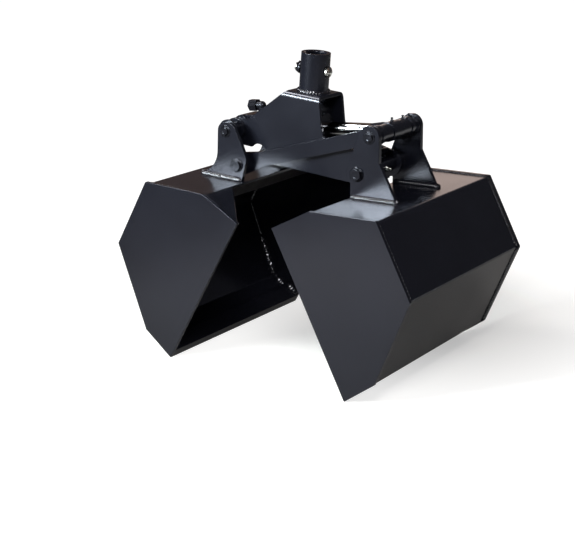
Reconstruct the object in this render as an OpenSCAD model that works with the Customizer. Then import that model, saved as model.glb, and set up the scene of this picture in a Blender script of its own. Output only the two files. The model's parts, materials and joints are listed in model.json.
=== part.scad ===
// Clamshell bucket with rotator collar, channel frame, link bars and one
// hydraulic cylinder, drawn half open, standing on its two cutting edges.
// X runs across the opening, Y along the bucket, Z is up.  Millimetres.
// The jaws are laid out closed about the tip of the closed bucket and are
// then turned open about their lower and upper pivots.

/* [Bucket jaws] */
// outside width of the bucket over both end plates
bucket_width = 550; // [400:5:800]
// height of the open top edge of a closed jaw above its tip
lip_height = 428; // [380:1:480]
// half width of the top opening of the closed bucket
lip_reach = 116; // [90:1:140]
// distance of the back of a closed jaw from the seam
back_reach = 270; // [240:1:320]
// drop of the bend between top plate and back below the top opening
shoulder_drop = 78; // [50:1:100]
// height of the bend between back and floor slope
heel_height = 158; // [130:1:190]
// distance of the floor bend from the seam
floor_reach = 96; // [80:1:120]
// rise of the floor bend above the tip
floor_rise = 14; // [8:1:24]
// half of the gap that stays between the closed jaws
seam_gap = 0.6; // [0.4:0.1:2]
// opening of the right jaw as drawn, in degrees
right_opening = 32.1; // [20:0.1:34]

/* [Bucket plate] */
// thickness of the end plates
end_plate = 8; // [5:0.5:12]
// thickness of the bent shell plate
shell_plate = 6; // [4:0.5:10]
// step of the shell behind the edge of the end plates
shell_step = 4; // [1:0.5:8]
// inner radius of the shell bends
shell_bend = 3; // [1:0.5:12]
// radius of the corners of the end plates
end_corner = 4; // [2:0.5:12]
// width of the cutting edge bar along the floor
edge_width = 54; // [40:1:80]
// length of the solid nose of the cutting edge bar in front of the shell
edge_nose = 18; // [10:1:30]
// thickness of the cutting edge bar
edge_bar = 12; // [8:0.5:20]
// depth of the stiffening lip under the front of the top plate
lip_depth = 36; // [20:1:50]
// thickness of the stiffening lip
lip_plate = 8; // [4:0.5:12]
// leg of the corner gussets beside the top opening
gusset_leg = 108; // [70:1:120]
// thickness of the corner gussets
gusset_plate = 6; // [4:0.5:10]
// depth of the corner gussets under the edge of the end plates
gusset_drop = 3; // [1:0.5:8]

/* [Pivots] */
// distance of the right lower pivot from the seam
right_low_x = 156; // [150:1:162]
// height of the right lower pivot above the top opening, jaws closed
right_low_rise = 40; // [36:1:46]
// distance of the right upper pivot from the seam, jaws closed
right_high_x = 225; // [218:1:232]
// height of the right upper pivot above the top opening, jaws closed
right_high_rise = 104; // [98:1:110]
// distance of the left upper pivot from the seam
left_high_x = 225; // [218:1:232]
// height of the left upper pivot above the top opening, jaws closed
left_high_rise = 71; // [66:1:77]
// distance of the left lower pivot from the seam, jaws closed
left_low_x = 156; // [150:1:162]
// height of the left lower pivot above the top opening, jaws closed
left_low_rise = 17; // [12:1:22]
// diameter of the pivot pins
pin_dia = 25; // [18:1:26]
// radial running clearance round each pin
pin_fit = 0.08; // [0.03:0.01:0.1]
// radial play of the link eye and rod eye round the right upper pin
loose_fit = 3.6; // [3.4:0.1:4]
// side play between pieces that turn on each other
side_play = 0.5; // [0.3:0.1:1]

/* [Ears] */
// thickness of the ear plates
ear_plate = 10; // [6:0.5:14]
// distance between the outer faces of the two ears of a jaw
ear_span = 204; // [190:1:240]
// radius of the right ear about its upper pivot
right_crown = 27; // [24:0.5:30]
// radius of the right ear about its lower pivot
right_bulge = 29; // [26:0.5:32]
// length of the right ear along the top plate
right_ear_foot = 122; // [110:1:134]
// height of the straight flare of the right ear
right_flare_height = 84; // [70:1:95]
// height of the kink in the flare of the right ear
right_kink_height = 43; // [36:1:52]
// kink in the flare of the right ear, from its foot
right_kink_reach = 23; // [15:1:30]
// radius of the left ear about its upper pivot
left_crown = 22.5; // [21:0.5:26]
// length of the flat top of the left ear
left_flat = 8; // [4:1:12]
// length of the left ear along the top plate
left_ear_foot = 132; // [120:1:140]
// radius of the hollow fillet of the left ear
left_fillet = 62; // [56:1:80]
// height of the bevel of the left ear
left_bevel_height = 90; // [80:1:98]
// distance of the bevel of the left ear from its front
left_bevel_reach = 18; // [6:1:24]
// height of the foremost place of the left ear
left_front_height = 52; // [40:1:60]
// distance of the foot of the left ear from its front
left_foot_step = 12; // [0:1:16]
// leg of the weld beads along the ears
ear_bead = 7; // [4:0.5:10]

/* [Frame channel] */
// outside width of the channel
channel_width = 108; // [96:1:124]
// plate thickness of the channel
channel_plate = 8; // [5:0.5:12]
// inner radius of the two bends of the channel
channel_bend = 6; // [3:0.5:12]
// height of the top face of the channel above the top opening
channel_rise = 188; // [172:1:212]
// left end of the top plate, from the seam
top_left = 88; // [80:1:96]
// right end of the top plate, from the seam
top_right = 7; // [0:1:20]
// distance of the sloped left edge from the left upper pivot
slope_offset = 21; // [19:0.5:26]
// radius of the channel about the left upper pivot
left_round = 38; // [34:0.5:44]
// radius of the notch that clears the lower cross tube
notch_round = 27; // [24:0.5:30]
// height of the edge right of the notch above the top opening
throat_rise = 6; // [2:1:12]
// distance of that edge from the seam
throat_reach = 103; // [96:1:112]
// distance from the seam where the underside turns level
chin_reach = 75; // [66:1:84]
// height of the level underside above the top opening
belly_rise = 2; // [0:0.5:8]
// radius of the arms about the right lower pivot
right_round = 32; // [30:0.5:40]
// distance from the seam of the upper edge of the arm at its tip
arm_reach = 123; // [112:1:130]
// height of the upper edge of the arm at its tip above the top opening
arm_rise = 79; // [74:1:84]
// distance of the concave corner from the seam
neck_reach = 27; // [20:1:34]
// height of the concave corner above the top opening
neck_rise = 96; // [88:1:106]
// distance from the seam of the lower end of the right edge
side_reach = 19.4; // [12:0.2:26]
// height of the lower end of the right edge above the top opening
side_rise = 119; // [110:1:128]

/* [Collar] */
// distance of the collar axis left of the seam
collar_reach = 42.7; // [36:0.1:50]
// outside diameter of the collar
collar_dia = 71; // [64:0.5:80]
// bore of the collar
collar_bore = 50; // [44:0.5:56]
// height of the collar above the channel
collar_height = 93; // [80:1:110]
// height of the cross bolt above the channel
cross_height = 51; // [44:1:60]
// diameter of the cross bolt
cross_dia = 20; // [14:0.5:24]
// diameter of the domed head of the cross bolt
cross_head = 26; // [24:0.5:32]
// diameter of the nut of the cross bolt
cross_nut = 32; // [30:0.5:40]
// leg of the weld bead round the collar
collar_bead = 6; // [3:0.5:8]
// height of the bearing land at the mouth of the collar bore
bore_land = 24; // [16:1:28]
// depth of the relief behind the bearing land
bore_relief = 1.2; // [0.8:0.1:2]
// edge chamfer of the collar mouth
mouth_chamfer = 3; // [1:0.5:5]

/* [Link bars] */
// thickness of a link bar
link_plate = 12; // [8:0.5:14]
// distance between the outer faces of the two link bars
link_span = 148; // [140:1:156]
// width of the shank of a link bar
link_width = 36; // [28:1:44]
// radius of the lower left eye of a link bar
link_eye = 27; // [24:0.5:30]
// radius of the upper right eye of a link bar
link_tip_eye = 23; // [22:0.5:27]
// outside diameter of the cross tube between the link bars
cross_tube_dia = 36; // [32:1:42]
// outside diameter of the tubes round the right upper pin
high_tube_dia = 42; // [36:1:44]
// outside diameter of the end rings of those tubes
high_ring_dia = 50; // [46:1:52]
// outside diameter of the spacers beside the link bars
spacer_dia = 38; // [32:1:46]

/* [Cylinder] */
// outside diameter of the cylinder barrel
barrel_dia = 75; // [66:0.5:78]
// bore of the barrel
barrel_bore = 61; // [50:0.5:62]
// distance of the barrel mouth from the left upper pivot
barrel_reach = 230; // [215:1:268]
// distance of the base cap from the left upper pivot
cap_reach = 35; // [33:0.5:40]
// length of the base cap
cap_length = 16; // [10:1:24]
// radius of the base eye
base_eye = 30; // [26:0.5:33]
// width of the base eye
base_eye_width = 60; // [40:1:70]
// length of the gland ring
gland_length = 12; // [8:1:20]
// outside diameter of the gland ring
gland_dia = 70; // [60:0.5:74]
// radial clearance of piston and rod
slide_fit = 0.05; // [0.02:0.01:0.1]
// diameter of the piston rod
rod_dia = 32; // [25:0.5:40]
// distance of the piston from the left upper pivot
piston_reach = 116; // [100:1:130]
// length of the piston
piston_length = 30; // [20:1:40]
// outside diameter of the rod eye
rod_eye = 46; // [44:0.5:54]
// width of the rod eye
rod_eye_width = 44; // [34:1:50]
// diameter of the flared end of the rod at its eye
rod_flare = 40; // [34:1:44]
// length of the flared end
flare_length = 30; // [20:1:44]
// radial play of the rod eye round the right upper pin
rod_play = 2.4; // [2.2:0.1:4]
// distance of the supply port from the left upper pivot
port_reach = 42; // [38:1:48]
// height of the port pipe axis above the barrel axis
port_height = 50; // [50:1:54]
// size across flats of the port nut
port_flats = 27; // [22:1:30]
// length of the port nut
port_nut = 22; // [18:1:36]
// outside diameter of the port elbow
port_elbow = 21; // [18:1:23]
// diameter of the port bore
port_bore = 13; // [10:1:16]

/* [Pins and bolts] */
// diameter of the large washers under the hex heads
washer_dia = 40; // [38:1:46]
// thickness of the large washers
washer_plate = 2; // [1:0.5:6]
// size across flats of the hex heads
hex_flats = 36; // [27:1:40]
// height of the hex heads
hex_height = 9; // [6:0.5:20]
// size across flats of the heads of the upper pins
pin_flats = 23; // [19:0.5:24]
// height of the heads of the upper pins
pin_head = 5; // [4:0.5:12]
// outside diameter of the retaining rings of the upper pins
clip_dia = 29; // [28:0.5:36]
// thickness of the retaining rings
clip_plate = 1.5; // [1:0.5:4]
// outside diameter of the pivot tube
pivot_tube_dia = 36; // [32:1:46]
// outside diameter of the thrust rings
ring_dia = 54; // [50:1:56]
// outside diameter of the thrust rings of the right ears
thrust_dia = 40; // [38:1:54]
// thickness of the thrust rings beside the ears
ring_plate = 6; // [4:0.5:8]
// thickness of the bearing rings on the channel
boss_plate = 7.5; // [5:0.5:7.5]
// diameter of the brace bar between the right arms
brace_dia = 16; // [12:1:17]
// distance of the brace bar left of the right lower pivot
brace_reach = 10; // [6:0.5:14]
// height of the brace bar above the right lower pivot
brace_height = 29.5; // [28:0.5:30]
// reach of the grease nipple from the pivot tube
nipple_reach = 12; // [8:1:16]
// diameter of the grease nipple
nipple_dia = 9; // [7:0.5:12]

/* [Hidden] */

$fn = 96;
// overrun of every cut
over = 1;
// height of the waist of the left ear, as a share of its pivot height
left_waist_share = 0.53;
// share of the edge bar left at its bevelled inner border
edge_toe_share = 0.5;
// height of a nut as a share of a bolt head
nut_share = 0.85;
// height of the cross bolt nut with its washer, as a share of its width
nut_height_share = 0.34;
// height of the rim and of the dome of the cross bolt head
head_rim_share = 0.2;
// step from washer to nut, in washer thicknesses
washer_step_share = 0.3;
// length of the cross bolt beyond its nut
cross_tip = 6;
// height of the relief ring in the collar bore
relief_width = 4;
// neck and ball of the grease nipple, as shares of its width
nipple_neck_share = 0.6;
nipple_ball_share = 0.8;
// taper from a link eye to the shank, as a share of the eye radius
eye_taper_share = 2.2;
// gap between port nut and base cap, as a share of the barrel diameter
port_gap_share = 0.07;

// finishes
paint = [0.14, 0.14, 0.15];
bead = [0.22, 0.22, 0.23];
steel = [0.35, 0.35, 0.36];
zinc = [0.75, 0.75, 0.72];
chrome = [0.85, 0.85, 0.86];

// heights above the tip of the closed bucket
shoulder_height = lip_height - shoulder_drop;
right_low_z = lip_height + right_low_rise;
right_high_z = lip_height + right_high_rise;
left_high_z = lip_height + left_high_rise;
left_low_z = lip_height + left_low_rise;
channel_top = lip_height + channel_rise;
throat_height = lip_height + throat_rise;
belly_height = lip_height + belly_rise;
arm_height = lip_height + arm_rise;
neck_height = lip_height + neck_rise;
side_height = lip_height + side_rise;

// places of the pivots in the closed layout
right_low = [right_low_x, right_low_z];
right_high = [right_high_x, right_high_z];
left_high = [-left_high_x, left_high_z];
left_low = [-left_low_x, left_low_z];

// corners of the jaw, from the top opening round to the tip
jaw = [[0, lip_height], [lip_reach, lip_height],
       [back_reach, shoulder_height], [back_reach, heel_height],
       [floor_reach, floor_rise], [0, 0]];

// turn of a point about a centre, counter-clockwise in degrees
function turned(p, c, a) =
    c + [cos(a) * (p.x - c.x) - sin(a) * (p.y - c.y),
         sin(a) * (p.x - c.x) + cos(a) * (p.y - c.y)];
// direction of a vector in degrees
function heading(v) = atan2(v.y, v.x);
// unit vector
function unit(v) = v / norm(v);
// same point on the other side of the seam
function other_side(p) = [-p.x, p.y];

// four-bar closure that gives the turn of the left jaw
link_length = norm(right_high - left_low);
left_arm = norm(left_low - left_high);
right_high_open = turned(right_high, right_low, right_opening);
reach = norm(right_high_open - left_high);
along = (reach * reach + left_arm * left_arm
         - link_length * link_length) / (2 * reach);
beside = sqrt(left_arm * left_arm - along * along);
reach_unit = unit(right_high_open - left_high);
left_low_open = left_high + along * reach_unit
    + beside * [reach_unit.y, -reach_unit.x];
left_opening = heading(left_low - left_high)
    - heading(left_low_open - left_high);
link_heading = heading(right_high_open - left_low_open);
rod_heading = heading(reach_unit);

// the tips of the open jaws, which stand on the ground
jaw_tip = [seam_gap, seam_gap * floor_rise / floor_reach];
right_tip = turned(jaw_tip, right_low, right_opening);
left_tip = turned(other_side(jaw_tip), left_high, -left_opening);
tilt = heading(right_tip - left_tip);
ground = turned(right_tip, [0, 0], -tilt).y;

// normal on the left of a path piece
function left_normal(p, q) = let (d = unit(q - p)) [-d.y, d.x];
// length cut from each side of a corner by a bend
function bend_cut(p, q, s, r) =
    let (turn = abs(heading(s - q) - heading(q - p)))
    r * tan(min(turn, 360 - turn) / 2);
// centre of the bend at a corner of a clockwise path
function bend_centre(path, i, r) =
    let (d = unit(path[i] - path[i - 1]),
         cut = bend_cut(path[i - 1], path[i], path[i + 1], r))
    path[i] - cut * d - r * left_normal(path[i - 1], path[i]);

// the backs of the open jaws, which set the middle of the whole bucket
shell_skin = shell_step + shell_plate;
back_bend = bend_centre(jaw, 3, end_corner);
right_back = turned(turned(back_bend, right_low, right_opening),
                    [0, 0], -tilt);
left_back = turned(turned(other_side(back_bend), left_high, -left_opening),
                   [0, 0], -tilt);
middle = (right_back.x + left_back.x) / 2;

// where the upper edge of the arm meets its rounding
arm_tangent = let (p = [arm_reach, arm_height], d = p - right_low,
                   a = heading(d) - acos(right_round / norm(d)))
    [cos(a), sin(a)];

// stations along the width
ear_out = ear_span / 2;
ear_in = ear_out - ear_plate;
link_out = link_span / 2;
link_in = link_out - link_plate;
channel_out = channel_width / 2;
channel_in = channel_out - channel_plate;
end_out = bucket_width / 2;
end_in = end_out - end_plate;
pin_bore = pin_dia + 2 * pin_fit;
loose_bore = pin_dia + 2 * loose_fit;

// length and slope of the top plate
top_vector = jaw[2] - jaw[1];
top_slope = -heading(top_vector);

// places of the pivots measured along and out of the top plate
function on_plate(p) = turned(p - jaw[1], [0, 0], top_slope);
right_low_uv = on_plate(right_low);
right_high_uv = on_plate(right_high);
left_low_uv = on_plate(other_side(left_low));
left_high_uv = on_plate(other_side(left_high));

// Placing.

// the whole bucket, stood upright on its tips
module standing() {
    translate([-middle, 0, -ground]) rotate([0, tilt, 0]) children();
}

// a piece of the right jaw, drawn closed
module right_side() {
    standing() translate([right_low.x, 0, right_low.y])
        rotate([0, -right_opening, 0])
        translate([-right_low.x, 0, -right_low.y]) children();
}

// a piece of the left jaw, drawn closed
module left_side() {
    standing() translate([left_high.x, 0, left_high.y])
        rotate([0, left_opening, 0])
        translate([-left_high.x, 0, -left_high.y]) children();
}

// a piece of the left jaw, drawn as if it were the right one
module left_mirrored() {
    left_side() mirror([1, 0, 0]) children();
}

// a piece laid along a line that starts at a pivot
module along_line(p, a) {
    standing() translate([p.x, 0, p.y]) rotate([0, -a, 0]) children();
}

// flat outlines in X and Z, each made solid between two stations in Y
module slab(y_from, y_to) {
    for (i = [0:$children - 1])
        translate([0, y_to, 0]) rotate([90, 0, 0])
            linear_extrude(y_to - y_from) children(i);
}

// a round bar along Y about a point in X and Z
module bar_y(p, dia, y_from, y_to) {
    translate([p.x, y_to, p.y]) rotate([90, 0, 0])
        cylinder(d = dia, h = y_to - y_from);
}

// a ring along Y about a point in X and Z
module ring_y(p, dia, bore, y_from, y_to) {
    difference() {
        bar_y(p, dia, y_from, y_to);
        bar_y(p, bore, y_from - over, y_to + over);
    }
}

// a piece drawn along and out of the top plate
module top_frame() {
    translate([jaw[1].x, 0, jaw[1].y]) rotate([0, top_slope, 0]) children();
}

// Outlines.

// round spot
module spot(p, r) {
    translate(p) circle(r = r);
}

// points where an outer tangent leaves two circles, left of the path
function tangent_left(p, r, q, s) =
    let (d = q - p, l = norm(d), a = heading(d) + acos((r - s) / l),
         n = [cos(a), sin(a)])
    [p + r * n, q + s * n];

// block under a clockwise path with round corners, closed by more points
module rounded_block(path, closing, r, y_from, y_to) {
    last = len(path) - 1;
    cuts = [for (i = [0:last]) (i == 0 || i == last) ? 0
            : bend_cut(path[i - 1], path[i], path[i + 1], r)];
    border = [for (i = [0:last - 1]) let (d = unit(path[i + 1] - path[i]))
              each [path[i] + cuts[i] * d, path[i + 1] - cuts[i + 1] * d]];
    slab(y_from, y_to) polygon(concat(border, closing));
    for (i = [1:last - 1])
        bar_y(bend_centre(path, i, r), 2 * r, y_from, y_to);
}

back_normal = left_normal(jaw[1], jaw[2]);
floor_normal = left_normal(jaw[4], jaw[5]);
floor_run = unit(jaw[4] - jaw[5]);
shell_start = jaw[1] - shell_step * back_normal;

// corner of the jaw moved in by a step
function inset(i, step) =
    let (n1 = left_normal(jaw[i - 1], jaw[i]),
         n2 = left_normal(jaw[i], jaw[i + 1]), m = unit(n1 + n2))
    jaw[i] - step / (m * n1) * m;
// point of the floor moved in by a step, at a distance from the seam
function floor_at(step, x) =
    jaw[5] - step * floor_normal
    + (x + step * floor_normal.x) / floor_run.x * floor_run;
// path along the plates, moved in by a step and longer at both ends
function skin_path(step, lead) =
    [jaw[1] - step * back_normal - lead * unit(top_vector),
     inset(2, step), inset(3, step), inset(4, step),
     floor_at(step, edge_nose - lead)];

// Jaw pieces, drawn closed on the right.

// bent shell plate, square at the front and upright behind the edge bar
module shell_solid() {
    front = shell_start - shell_plate * back_normal;
    tip = [edge_nose, 3 * shell_skin];
    past = -lip_reach;
    difference() {
        rounded_block(skin_path(shell_step, 0), [tip, front],
                      shell_bend + shell_plate, -end_in, end_in);
        rounded_block(skin_path(shell_skin, over),
                      [[past, floor_at(shell_skin, edge_nose).y],
                       [past, lip_height]],
                      shell_bend, -end_in - over, end_in + over);
    }
}

// end plate, cut back at the seam
module end_solid(y_from, y_to) {
    difference() {
        rounded_block([for (i = [1:5]) jaw[i]], [[0, lip_height]],
                      end_corner, y_from, y_to);
        translate([-over, y_from - over, -over])
            cube([over + seam_gap, end_plate + 2 * over, 2 * lip_height]);
    }
}

// bar along the tip that meets the other jaw, on the floor of the shell
module edge_solid() {
    foot = floor_at(shell_skin, seam_gap);
    nose = floor_at(shell_skin + edge_bar, seam_gap);
    slab(-end_in, end_in)
        polygon([jaw_tip, nose,
                 foot + (edge_width - edge_bar) * floor_run
                 - edge_bar * floor_normal,
                 foot + edge_width * floor_run
                 - edge_bar * edge_toe_share * floor_normal,
                 foot + edge_width * floor_run,
                 floor_at(shell_skin, edge_nose), floor_at(0, edge_nose)]);
}

// lip that stiffens the front of the top plate
module lip_solid() {
    high = shell_start - shell_plate * back_normal;
    low = lip_height - lip_depth - shell_step;
    slab(-end_in, end_in)
        polygon([high, high + lip_plate / unit(top_vector).x
                 * unit(top_vector),
                 [high.x + lip_plate, low], [high.x, low]]);
}

// three-cornered gusset between an end plate and the lip
module gusset_solid(side) {
    face = (shell_start - shell_plate * back_normal).x;
    translate([0, 0, lip_height - gusset_drop - gusset_plate])
        linear_extrude(gusset_plate)
        polygon([[face - gusset_leg, side * end_in], [face, side * end_in],
                 [face, side * (end_in - gusset_leg)]]);
}

// Ears, drawn along and out of the top plate.

module right_ear_body(y_from, y_to) {
    front = tangent_left(right_low_uv, right_bulge,
                         right_high_uv, right_crown);
    edge = right_high_uv.x + right_crown;
    bar_y(right_low_uv, 2 * right_bulge, y_from, y_to);
    bar_y(right_high_uv, 2 * right_crown, y_from, y_to);
    slab(y_from, y_to)
        polygon([[0, -shell_step], [0, right_low_uv.y], front[0], front[1],
                 right_high_uv, [edge, right_high_uv.y],
                 [edge, right_flare_height],
                 [right_ear_foot - right_kink_reach, right_kink_height],
                 [right_ear_foot, -shell_step]]);
}

module left_ear_body(y_from, y_to) {
    edge = left_high_uv.x + left_crown;
    crown = left_high_uv - [left_flat, 0];
    bevel = [left_bevel_reach, left_bevel_height];
    front = tangent_left(bevel, 0, crown, left_crown);
    waist = left_high_uv.y * left_waist_share;
    bar_y(left_high_uv, 2 * left_crown, y_from, y_to);
    bar_y(crown, 2 * left_crown, y_from, y_to);
    slab(y_from, y_to)
        polygon([[left_foot_step, -shell_step], [0, left_front_height],
                 bevel, front[1], crown + [0, left_crown],
                 left_high_uv + [0, left_crown], left_high_uv,
                 [edge, left_high_uv.y], [edge, -shell_step]]);
    slab(y_from, y_to) difference() {
        translate([edge - over, -shell_step])
            square([left_ear_foot - edge + over, waist + shell_step]);
        spot([edge + left_fillet, waist], left_fillet);
    }
}

module ear_solid(y_from, left = false) {
    p = left ? left_low_uv : right_low_uv;
    q = left ? left_high_uv : right_high_uv;
    y_to = y_from + ear_plate;
    top_frame() difference() {
        union() {
            if (left) left_ear_body(y_from, y_to);
            else right_ear_body(y_from, y_to);
        }
        bar_y(p, pin_bore, y_from - over, y_to + over);
        bar_y(q, pin_bore, y_from - over, y_to + over);
    }
}

// quarter-round bead along one face of an ear
module ear_bead_line(y_face, outward, run) {
    translate([0, y_face, -shell_step]) intersection() {
        rotate([0, 90, 0]) cylinder(r = ear_bead, h = run);
        translate([0, outward > 0 ? 0 : -ear_bead, 0])
            cube([run, ear_bead, ear_bead]);
    }
}

// beads along both faces of both ears
module ear_welds(start, foot) {
    run = foot - start;
    top_frame() translate([start, 0, 0]) {
        ear_bead_line(ear_out, 1, run);
        ear_bead_line(ear_in, -1, run);
        ear_bead_line(-ear_in, 1, run);
        ear_bead_line(-ear_out, -1, run);
    }
}

// Pins.

// pin through both ears and their rings, with a hex head at each end
module headed_pin(p) {
    seat = ear_out + clip_plate;
    bar_y(p, pin_dia, -seat, seat);
    hex_prism(p, pin_flats, -seat - pin_head, -seat);
    hex_prism(p, pin_flats, seat, seat + pin_head);
}

// ring on the near and far side at mirrored stations
module ring_pair(p, dia, bore, y_from, y_to) {
    ring_y(p, dia, bore, -y_to, -y_from);
    ring_y(p, dia, bore, y_from, y_to);
}

// hexagon along Y about a point in X and Z
module hex_prism(p, flats, y_from, y_to) {
    translate([p.x, y_to, p.y]) rotate([90, 0, 0])
        cylinder(d = flats / cos(30), h = y_to - y_from, $fn = 6);
}

// bolt with a hex head and washer outside the near ear
module hex_bolt(p) {
    seat = ear_out + washer_plate;
    bar_y(p, pin_dia, -seat, seat + hex_height);
    bar_y(p, washer_dia, -seat, -ear_out);
    hex_prism(p, hex_flats, -seat - hex_height, -seat);
}

// washer and nut on the far end of a bolt
module hex_nut(p) {
    seat = ear_out + washer_plate;
    difference() {
        union() {
            bar_y(p, washer_dia, ear_out, seat);
            hex_prism(p, hex_flats, seat, seat + hex_height * nut_share);
        }
        bar_y(p, pin_bore, ear_out - over, seat + hex_height + over);
    }
}

// Head: channel, collar and what is fixed to them.

// side view of the channel, solid over its width
module channel_block() {
    half = channel_out;
    corner = [-top_left, channel_top];
    to_pivot = left_high - corner;
    dip = asin(slope_offset / norm(to_pivot));
    slope = turned(unit(to_pivot), [0, 0], -dip);
    low_end = corner + (norm(to_pivot) + left_round) * slope;
    belly = left_high.y - left_round;
    difference() {
        union() {
            bar_y(left_high, 2 * left_round, -half, half);
            bar_y(right_low, 2 * right_round, -half, half);
            slab(-half, half)
                polygon([corner, [top_right, channel_top],
                         [side_reach, side_height], [neck_reach, neck_height],
                         [arm_reach, arm_height],
                         right_low + right_round * arm_tangent, right_low,
                         [right_low.x, belly_height],
                         [-chin_reach, belly_height],
                         [-throat_reach, throat_height],
                         [left_low.x + notch_round, left_low.y],
                         [left_low.x + notch_round, belly],
                         [left_high.x, belly], left_high]);
        }
        slab(-half - over, half + over)
            polygon([corner, low_end,
                     low_end + channel_width * [slope.y, -slope.x],
                     corner + channel_width * [slope.y, -slope.x]]);
        bar_y(left_low, 2 * notch_round, -half - over, half + over);
    }
}

// bent hat section of the channel along X, solid below its skin
module channel_hat(inset, bend) {
    half = channel_out - inset;
    top = channel_top - inset;
    low = belly_height / 2;
    start = -left_high_x - left_round - over;
    run = right_low_x + right_round + over - start;
    translate([start, -half, low]) cube([run, 2 * half, top - bend - low]);
    translate([start, bend - half, low])
        cube([run, 2 * (half - bend), top - low]);
    for (s = [-1, 1])
        translate([start, s * (half - bend), top - bend]) rotate([0, 90, 0])
            cylinder(r = bend, h = run);
}

module frame_channel() {
    color(paint) standing() difference() {
        intersection() {
            channel_block();
            channel_hat(0, channel_bend + channel_plate);
        }
        channel_hat(channel_plate, channel_bend);
        bar_y(left_high, pin_bore, -channel_width, channel_width);
        bar_y(right_low, pivot_tube_dia + 2 * pin_fit,
              -channel_width, channel_width);
    }
}

module rotator_collar() {
    mouth = channel_top + collar_height;
    land = mouth - mouth_chamfer - bore_land;
    color(paint) standing() translate([-collar_reach, 0, 0]) difference() {
        translate([0, 0, channel_top])
            cylinder(d = collar_dia, h = collar_height);
        translate([0, 0, channel_top - over])
            cylinder(d = collar_bore, h = collar_height + 2 * over);
        translate([0, 0, land - relief_width])
            cylinder(d = collar_bore + 2 * bore_relief, h = relief_width);
        translate([0, 0, mouth - mouth_chamfer])
            cylinder(d1 = collar_bore,
                     d2 = collar_bore + 2 * (mouth_chamfer + over),
                     h = mouth_chamfer + over);
        translate([-collar_dia, 0, channel_top + cross_height])
            rotate([0, 90, 0])
            cylinder(d = cross_dia + 2 * pin_fit, h = 2 * collar_dia);
    }
}

module collar_weld() {
    color(bead) standing() translate([-collar_reach, 0, channel_top])
        rotate_extrude() translate([collar_dia / 2, 0]) intersection() {
            circle(r = collar_bead);
            square(collar_bead);
        }
}

// piece along X on the axis of the cross bolt
module on_cross_axis(x_from) {
    translate([x_from - collar_reach, 0, channel_top + cross_height])
        rotate([0, 90, 0]) children();
}

module collar_bolt() {
    half = collar_dia / 2;
    tip = half + cross_nut * nut_height_share + cross_tip;
    rim = cross_head * head_rim_share;
    ball = (cross_head * cross_head / 4 + rim * rim) / (2 * rim);
    color(zinc) standing() {
        on_cross_axis(-tip) cylinder(d = cross_dia, h = tip + half);
        on_cross_axis(half) cylinder(d = cross_head, h = rim);
        on_cross_axis(half + rim) intersection() {
            cylinder(d = cross_head, h = rim);
            translate([0, 0, rim - ball]) sphere(r = ball);
        }
    }
}

module collar_nut() {
    half = collar_dia / 2;
    height = cross_nut * nut_height_share;
    plate = height / 4;
    color(zinc) standing() difference() {
        union() {
            on_cross_axis(-half - plate) cylinder(d = cross_nut, h = plate);
            on_cross_axis(-half - height)
                cylinder(d = cross_nut - 2 * plate * washer_step_share,
                         h = height - plate, $fn = 6);
        }
        on_cross_axis(-half - height - over)
            cylinder(d = cross_dia + 2 * pin_fit, h = height + 2 * over);
    }
}

module left_boss(side) {
    y_from = side > 0 ? channel_out : -channel_out - boss_plate;
    color(paint) standing()
        ring_y(left_high, ring_dia, pin_bore, y_from, y_from + boss_plate);
}

module left_boss_near() {
    left_boss(-1);
}

module left_boss_far() {
    left_boss(1);
}

module right_pivot_tube() {
    half = ear_in - ring_plate - side_play;
    color(paint) standing()
        ring_y(right_low, pivot_tube_dia, pin_bore, -half, half);
}

module frame_brace() {
    color(paint) standing()
        bar_y(right_low + [-brace_reach, brace_height], brace_dia,
              -channel_in, channel_in);
}

module grease_nipple() {
    seat = pivot_tube_dia / 2;
    color(zinc) standing() translate([right_low.x, 0, right_low.y])
        rotate([0, 90, 0]) difference() {
            union() {
                cylinder(d = nipple_dia, h = seat + nipple_reach / 2);
                cylinder(d = nipple_dia * nipple_neck_share,
                         h = seat + nipple_reach);
                translate([0, 0, seat + nipple_reach])
                    sphere(d = nipple_dia * nipple_ball_share);
            }
            rotate([90, 0, 0])
                cylinder(d = pivot_tube_dia, h = 2 * nipple_dia, center = true);
        }
}

// Right jaw.

module right_shell() {
    color(paint) right_side() shell_solid();
}

module right_end_near() {
    color(paint) right_side() end_solid(-end_out, -end_in);
}

module right_end_far() {
    color(paint) right_side() end_solid(end_in, end_out);
}

module right_edge() {
    color(steel) right_side() edge_solid();
}

module right_lip() {
    color(paint) right_side() lip_solid();
}

module right_gusset_near() {
    color(paint) right_side() gusset_solid(-1);
}

module right_gusset_far() {
    color(paint) right_side() gusset_solid(1);
}

module right_ear_near() {
    color(paint) right_side() ear_solid(-ear_out);
}

module right_ear_far() {
    color(paint) right_side() ear_solid(ear_in);
}

module right_ear_welds() {
    color(bead) right_side() ear_welds(0, right_ear_foot);
}

module right_low_bolt() {
    color(steel) right_side() hex_bolt(right_low);
}

module right_low_nut() {
    color(steel) right_side() hex_nut(right_low);
}

module right_thrust_rings() {
    color(paint) right_side()
        ring_pair(right_low, thrust_dia, pin_bore, ear_in - ring_plate, ear_in);
}

module right_high_pin() {
    color(steel) right_side() headed_pin(right_high);
}

module right_high_clips() {
    color(steel) right_side()
        ring_pair(right_high, clip_dia, pin_bore, ear_out, ear_out + clip_plate);
}

// spacers beside the link bars and the cross tubes inside them
module right_high_spacers() {
    color(paint) right_side() {
        ring_pair(right_high, high_tube_dia, pin_bore,
                  link_out + side_play, ear_in);
        ring_pair(right_high, high_ring_dia, pin_bore,
                  ear_in - ring_plate, ear_in);
        ring_pair(right_high, high_tube_dia, pin_bore,
                  rod_eye_width / 2 + side_play, link_in - side_play);
    }
}

// Left jaw.

module left_shell() {
    color(paint) left_mirrored() shell_solid();
}

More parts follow.
